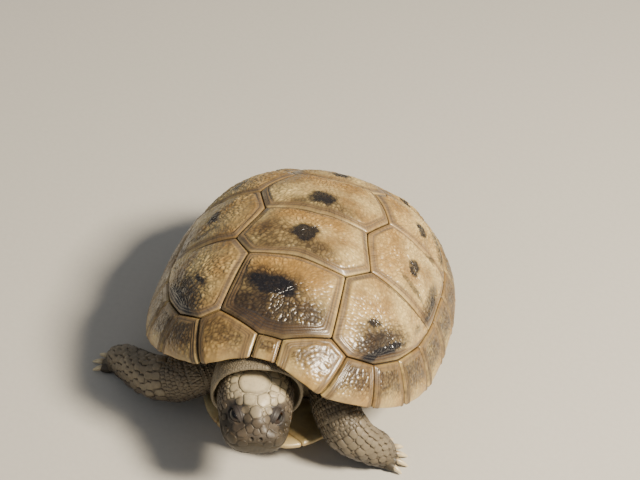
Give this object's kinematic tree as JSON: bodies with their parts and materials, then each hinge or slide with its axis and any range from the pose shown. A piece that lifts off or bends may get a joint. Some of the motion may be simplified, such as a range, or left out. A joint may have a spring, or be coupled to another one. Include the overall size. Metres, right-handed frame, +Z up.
{
  "type": "young spur-thighed tortoise, life-size model",
  "caption": "Still life-size model of a young spur-thighed tortoise standing with its head half drawn in, with separate horny shell plates.",
  "frame": {"origin": "on the floor, at the middle of the bounding box's bottom face", "axes": "+Z up, the head toward -Y, the animal's left side toward +X"},
  "size_m": [0.05, 0.0598, 0.0277],
  "materials": {
    "carapace": "horn, tan with brown bands and dark spots, fine growth ridges, slightly glossy",
    "marginals": "horn, straw-coloured with a brown middle and dark seams",
    "plastron": "horn, pale yellow with dark brown blotches",
    "skin": "dry grey-brown skin with scales",
    "beak": "olive-brown horn of the jaws, worn smooth",
    "eyes": "wet, nearly black",
    "claws": "pale horn"
  },
  "bodies": {
    "root": {"abdominal_left": "plastron", "abdominal_right": "plastron", "anal_left": "plastron", "anal_right": "plastron", "costal_left_1": "carapace", "costal_left_2": "carapace", "costal_left_3": "carapace", "costal_left_4": "carapace", "costal_right_1": "carapace", "costal_right_2": "carapace", "costal_right_3": "carapace", "costal_right_4": "carapace", "eye_left": "eyes", "eye_right": "eyes", "femoral_left": "plastron", "femoral_right": "plastron", "foreleg_left": "skin", "foreleg_right": "skin", "gular_left": "plastron", "gular_right": "plastron", "head": "skin", "hindleg_left": "skin", "hindleg_right": "skin", "humeral_left": "plastron", "humeral_right": "plastron", "lower_jaw": "beak", "marginal_left_1": "marginals", "marginal_left_10": "marginals", "marginal_left_11": "marginals", "marginal_left_2": "marginals", "marginal_left_3": "marginals", "marginal_left_4": "marginals", "marginal_left_5": "marginals", "marginal_left_6": "marginals", "marginal_left_7": "marginals", "marginal_left_8": "marginals", "marginal_left_9": "marginals", "marginal_right_1": "marginals", "marginal_right_10": "marginals", "marginal_right_11": "marginals", "marginal_right_2": "marginals", "marginal_right_3": "marginals", "marginal_right_4": "marginals", "marginal_right_5": "marginals", "marginal_right_6": "marginals", "marginal_right_7": "marginals", "marginal_right_8": "marginals", "marginal_right_9": "marginals", "neck": "skin", "nuchal": "marginals", "pectoral_left": "plastron", "pectoral_right": "plastron", "supracaudal": "marginals", "tail": "skin", "trunk": "skin", "vertebral_1": "carapace", "vertebral_2": "carapace", "vertebral_3": "carapace", "vertebral_4": "carapace", "vertebral_5": "carapace"}
  },
  "joints": []
}
